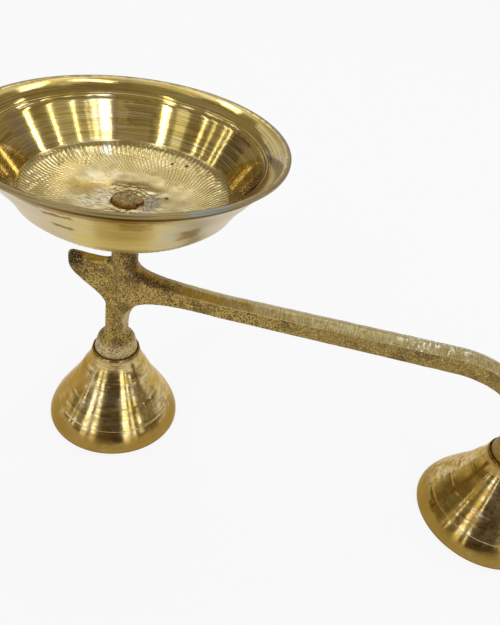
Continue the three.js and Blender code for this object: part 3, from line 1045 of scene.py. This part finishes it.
def foot_material(name, centre_x, tarnish):
    graph = Graph(name)
    radius, height, turn = turned_coordinates(graph, centre_x)
    place = graph.place((centre_x, 0, 0))
    lines = lathe_lines(graph, radius, height, turn, 0.45)
    clouds = graph.noise(place, 0.13, 3.0)
    colour = graph.mix(graph.step(clouds, 0.3, 0.7), FOOT_BRASS, DEEP_BRASS)
    mottle = graph.noise(place, 0.5, 5.0, 0.7)
    colour = graph.tint(colour, graph.step(mottle, 0.46, 0.62), tarnish, FOOT_TARNISH)
    bands = lathe_lines(graph, radius, height, turn, 1.3)
    colour = lined(graph, colour, lines, ((0.52, 0.7, 0.5, FOOT_PALE), (0.47, 0.3, 0.4, BROWN_SKIN_AND_SHADE)))
    colour = lined(graph, colour, bands, ((0.46, 0.34, 0.4, BROWN_SKIN_AND_SHADE),))
    patches = graph.noise(place, 0.16, 4.0, 0.65)
    colour = graph.tint(colour, graph.step(patches, 0.5, 0.72), 0.55, BROWN_SKIN_AND_SHADE)
    smeared = ragged(graph, turn, place, 0.3, 20)
    side = graph.times(graph.span(smeared, *FOOT_SIDE_TURN, 10), graph.step(patches, 0.3, 0.55))
    colour = graph.tint(colour, side, 0.75, SMUDGE_AND_SHADE_BROWN)
    colour = graph.tint(colour, graph.span(smeared, *FOOT_EDGE_TURN, 10), 0.5, SMUDGE_AND_SHADE_BROWN)
    # Painted reflection: darker below the lowest groove, where the foot mirrors the dark table close
    # by.
    colour = graph.tint(colour, graph.step(height, LOW_GROOVE[1] + 0.6, 5), 0.85, LOW_DARK_REFLECTION)
    seam = graph.step(radius, CROWN_RADIUS + 0.6, CROWN_RADIUS)
    colour = graph.tint(colour, seam, 0.6, TARNISH_AND_SHADE)
    set_turned_gloss(graph, 0.4, 0.1)
    waves = graph.bump(graph.noise(place, 0.5, 2.0), 0.02)
    roughness = graph.blend(graph.step(patches, 0.4, 0.6), 0.13, 0.24)
    graph.put(FOOT_GRAZING, graph.shader.inputs["Specular Tint"])
    relief = graph.bump(bands, 0.012, graph.bump(lines, 0.006, waves))
    return graph.finish(colour, roughness, relief)


def foot_inside_material():
    graph = Graph("foot_inside_brass")
    place = graph.place()
    grain = graph.noise(place, 1.1, 4.0, 0.6)
    colour = graph.mix(graph.step(grain, 0.35, 0.65), TARNISH_AND_SHADE, DEEP_BRASS)
    return graph.finish(colour, 0.6, graph.bump(grain, 0.15))


def cast_material():
    graph = Graph("cast_brass")
    place = graph.place((FRONT_X, 0, FOOT_SEAT))
    along, _, height = graph.split(place)
    sand = graph.noise(place, 1.7, 5.0, 0.66)
    pits = graph.cells(place, 1.2)
    clouds = graph.noise(place, 0.16, 3.0, 0.6)
    colour = graph.mix(graph.step(sand, 0.38, 0.6), CAST_PIT, CAST_BRASS)
    colour = graph.tint(colour, graph.step(along, *BAR_DARKENS), 0.6, CAST_SHADE)
    colour = graph.tint(colour, graph.step(clouds, 0.5, 0.68), 0.6, BROWN_SKIN_AND_SHADE)
    wandering_place = shaken(graph, place, 0.5, 3)
    grip = graph.blend(graph.step(sand, 0.48, 0.62), 1.0, 0.6)
    for centre, radii, strength, shade in CAST_STAINS:
        reach = graph.times(graph.spot(wandering_place, centre, radii), grip)
        colour = graph.tint(colour, reach, strength, shade)
    glints = graph.step(graph.noise(graph.vector("ADD", place, (7, 3, 5)), 2.0, 3.0), 0.56, 0.66)
    colour = graph.tint(colour, glints, 0.45, CAST_GLINT)
    collars = graph.times(graph.step(height, *COLLARS_BELOW), graph.step(sand, 0.36, 0.54))
    collars = graph.times(collars, graph.step(along, *PALE_COLLARS))
    colour = graph.tint(colour, collars, 0.75, COLLAR_TAN)
    filed = graph.step(graph.split(graph.normal())[2], 0.25, 0.5)
    filed = graph.times(filed, graph.step(height, *FILED_ABOVE))
    filed = graph.times(filed, graph.step(along, *FILED_FROM))
    marks = graph.noise(graph.vector("MULTIPLY", place, (1, 0.15, 0.15)), 2.6, 3.0, 0.6)
    bright = graph.mix(graph.step(marks, 0.38, 0.64), FILED_DARK, FILED_LIGHT)
    warm = graph.times(graph.span(along, *GILT_LENGTH, 8), graph.step(clouds, 0.4, 0.6))
    bright = graph.tint(bright, warm, 0.5, GILT)
    # Painted highlight: nicks near the bend tinted near white as glints.
    glinting_nicks = graph.noise(graph.vector("MULTIPLY", place, (1, 0.5, 0.5)), 1.1, 2.0)
    glinting_nicks = graph.step(glinting_nicks, 0.55, 0.63)
    glinting_nicks = graph.times(glinting_nicks, graph.span(along, *GLINT_NICK_LENGTH, 10))
    bright = graph.tint(bright, glinting_nicks, 0.9, WORN_AND_HIGHLIGHT_BRASS)
    colour = graph.mix(filed, colour, bright)
    relief = graph.bump(sand, 0.25)
    relief = graph.bump(graph.step(pits, 0.0, 0.35), 0.07, relief)
    normal = graph.between("VECTOR", filed, relief, graph.bump(marks, 0.18))
    roughness = graph.blend(filed, 0.5, 0.36)
    return graph.finish(colour, roughness, normal)


def head_material():
    graph = Graph("hammered_brass")
    place = graph.place((BOWL_X, 0, BOWL_BOTTOM))
    grain = graph.noise(place, 1.3, 4.0, 0.6)
    _, _, height = graph.split(place)
    colour = graph.mix(graph.step(grain, 0.4, 0.6), HEAD_DARK, HEAD_LIGHT)
    # Painted shade: the head's low edge, which stands proud of the floor, tinted brown.
    edge = graph.step(height, FLOOR_LEVEL + 1.4, FLOOR_LEVEL + 0.8)
    colour = graph.tint(colour, edge, 0.8, HEAD_EDGE_SHADE)
    # Painted shade: the cleft tinted near black.
    cleft_place = around(CLEFT_AZIMUTH, BOWL_HEAD_RADIUS - 0.8, FLOOR_LEVEL + 1)
    cleft = graph.spot(place, cleft_place, (1.1, 1.1, 2))
    colour = graph.tint(colour, cleft, 0.95, BURNT_AND_SHADE)
    return graph.finish(colour, 0.45, graph.bump(grain, 0.25))


# Stage, light and camera.


def floor_material():
    graph = Graph("pale_floor")
    graph.nodes.remove(graph.shader)
    plain = graph.nodes.new("ShaderNodeBsdfDiffuse")
    plain.inputs["Color"].default_value = (FLOOR_WHITE, FLOOR_WHITE, FLOOR_WHITE, 1)
    white = graph.nodes.new("ShaderNodeEmission")
    white.inputs["Strength"].default_value = 1.0
    ray = graph.nodes.new("ShaderNodeLightPath").outputs
    seen = graph.math("ADD", ray["Is Camera Ray"], ray["Is Glossy Ray"])
    seen = graph.math("ADD", seen, ray["Is Transmission Ray"], clamp=True)
    mixed = graph.nodes.new("ShaderNodeMixShader")
    graph.put(graph.times(seen, FLOOR_SHINE), mixed.inputs[0])
    graph.links.new(plain.outputs[0], mixed.inputs[1])
    graph.links.new(white.outputs[0], mixed.inputs[2])
    output = graph.nodes["Material Output"]
    graph.links.new(mixed.outputs[0], output.inputs[0])
    return graph.material


def flat_panel(name, width, depth):
    bm = bmesh.new()
    corners = ((-1, -1), (1, -1), (1, 1), (-1, 1))
    bm.faces.new([bm.verts.new((x * width / 2, y * depth / 2, 0)) for x, y in corners])
    return to_object(bm, name)


def add_stage():
    floor = flat_panel("floor", FLOOR_SIZE, FLOOR_SIZE)
    floor.location.z = -FLOOR_DROP
    floor.data.materials.append(floor_material())


def add_card():
    """A dark card behind the camera, which puts the dark stripe in the metal."""
    card = flat_panel("dark_card", CARD_WIDTH, CARD_HEIGHT)
    card.location = around(CARD_AZIMUTH, CARD_DISTANCE, CARD_LEVEL) + Vector((FRONT_X * MM, 0, 0))
    card.rotation_euler = (math.radians(90), 0, math.radians(CARD_AZIMUTH + 90))
    graph = Graph("dark_card")
    graph.put(CARD_BROWN, graph.shader.inputs["Base Color"])
    card.data.materials.append(graph.material)
    card.visible_camera = False
    card.visible_shadow = False
    card.visible_diffuse = False


def add_lamp(name, azimuth, width, low, high, radiance):
    """A tall soft box; azimuth, width and the low and high edges are in degrees from the burner."""
    middle = math.radians((low + high) / 2)
    box_width = 2 * LAMP_DISTANCE * math.tan(math.radians(width / 2))
    box_height = 2 * LAMP_DISTANCE * math.tan(math.radians((high - low) / 2))
    light = bpy.data.lights.new(name, "AREA")
    light.shape = "RECTANGLE"
    light.size = box_width
    light.size_y = box_height
    light.energy = radiance * math.pi * box_width * box_height
    light.color = LAMP_COLOUR
    lamp = bpy.data.objects.new(name, light)
    bpy.context.scene.collection.objects.link(lamp)
    target = Vector((FRONT_X * MM / 2, 0, LAMP_TARGET_HEIGHT))
    reach, rise = LAMP_DISTANCE * math.cos(middle), LAMP_DISTANCE * math.sin(middle)
    lamp.location = target + around(azimuth, reach, rise)
    lamp.rotation_euler = (target - lamp.location).to_track_quat("-Z", "Y").to_euler()
    lamp.visible_camera = False


# Soft boxes: name, azimuth, width, low and high edge in degrees, and radiance.
BOWL_BOXES = (
    ("key", 250, 4.2, 34, 54, 9),
    ("left_window", 232, 9, 32, 52, 0.8),
    ("right_window", 318, 8, 36, 56, 3.6),
    ("right_pane", 330, 5, 35, 55, 1.8),
    ("right_line", 337, 1, 33, 53, 2),
    ("right_strip", 351, 1.3, 31, 51, 6),
    ("right_fill", 352, 36, 28, 54, 0.2),
    ("middle_fill", 284, 26, 32, 54, 0.12),
    ("side_strip", 13.4, 2, 25, 44, 5.5),
    ("side_window", 36, 2.8, 18, 38, 9),
    ("side_top", 50, 3, 40, 47, 6),
    ("key_top", 235, 3, 61, 70, 6),
    ("left_strip", 209.5, 1.8, 26, 45, 4.5),
    ("left_strip_2", 200, 1.2, 23, 42, 3),
    ("far_strip", 189, 1, 18, 37, 4.5),
    ("far_strip_2", 183, 1, 16, 35, 5),
)
FOOT_BOXES = (
    ("low_key", 255, 8.5, -2, 26, 2.3),
    ("low_left", 238.5, 9, -2, 26, 2.4),
    ("low_left_strip", 217, 2.5, -1, 24, 2.3),
    ("low_left_strip_2", 209, 2.5, -1, 22, 1.8),
    ("low_right", 313, 11, -2, 26, 2.7),
    ("low_pane", 326.5, 5, -2, 26, 2.3),
    ("low_strip", 340, 7, 4, 12, 2.5),
    ("low_side_strip", 1.5, 2, 4, 22, 2.5),
    ("low_side", 21, 6, 4, 20, 1.6),
)
BACK_BOXES = (
    ("ceiling", 111, 40, 62, 80, 0.5),
    ("ceiling_middle", 78, 3, 69, 82, 6),
    ("ceiling_left", 148, 8, 50, 58, 3.6),
    ("ceiling_right", 73, 8, 53, 62, 4.2),
    ("back_wall", 111, 56, 14, 45, 0.5),
    ("back_high", 111, 40, 45, 70, 0.6),
    ("back_pane", 112, 22, 36, 46, 0.8),
)


def add_lights():
    for name, azimuth, width, low, high, radiance in BOWL_BOXES + FOOT_BOXES + BACK_BOXES:
        add_lamp(name, azimuth, width, low, high, radiance)
    world = bpy.data.worlds.new("room")
    bpy.context.scene.world = world
    world.use_nodes = True
    world.node_tree.nodes["Background"].inputs[0].default_value = (*ROOM_GREY, 1)


def add_camera():
    lens = bpy.data.cameras.new("view")
    lens.sensor_fit = "HORIZONTAL"
    lens.sensor_width = SENSOR_WIDTH
    lens.lens = CAMERA_LENS
    lens.clip_start = CAMERA_NEAR
    camera = bpy.data.objects.new("view", lens)
    bpy.context.scene.collection.objects.link(camera)
    camera.location = Vector(CAMERA_PLACE) * MM
    camera.rotation_euler = Euler([math.radians(a) for a in CAMERA_TURN])
    bpy.context.scene.camera = camera


# The whole burner.


def dress(piece, materials, node):
    for material in materials:
        piece.data.materials.append(material)
    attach(piece, "root")
    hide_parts(node)


def main():
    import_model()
    add_camera()
    bowl = make_bowl()
    inner = (bowl_inside_material(), bowl_floor_material(), bowl_outside_material())
    dress(bowl, inner, "bowl")
    casting = make_casting()
    dress(casting, (cast_material(),), "handle_casting")
    head = make_head()
    dress(head, (head_material(),), "handle_casting")
    hollow = foot_inside_material()
    for name, node, centre_x, tarnish in (
        ("front_bell_foot", "front_foot", FRONT_X, 0.35),
        ("rear_bell_foot", "rear_foot", REAR_X, 0.7),
    ):
        foot = make_foot(name, centre_x)
        dress(foot, (foot_material(name + "_brass", centre_x, tarnish), hollow), node)
    add_stage()
    add_card()
    add_lights()
    bpy.context.scene.view_settings.view_transform = "Standard"


main()
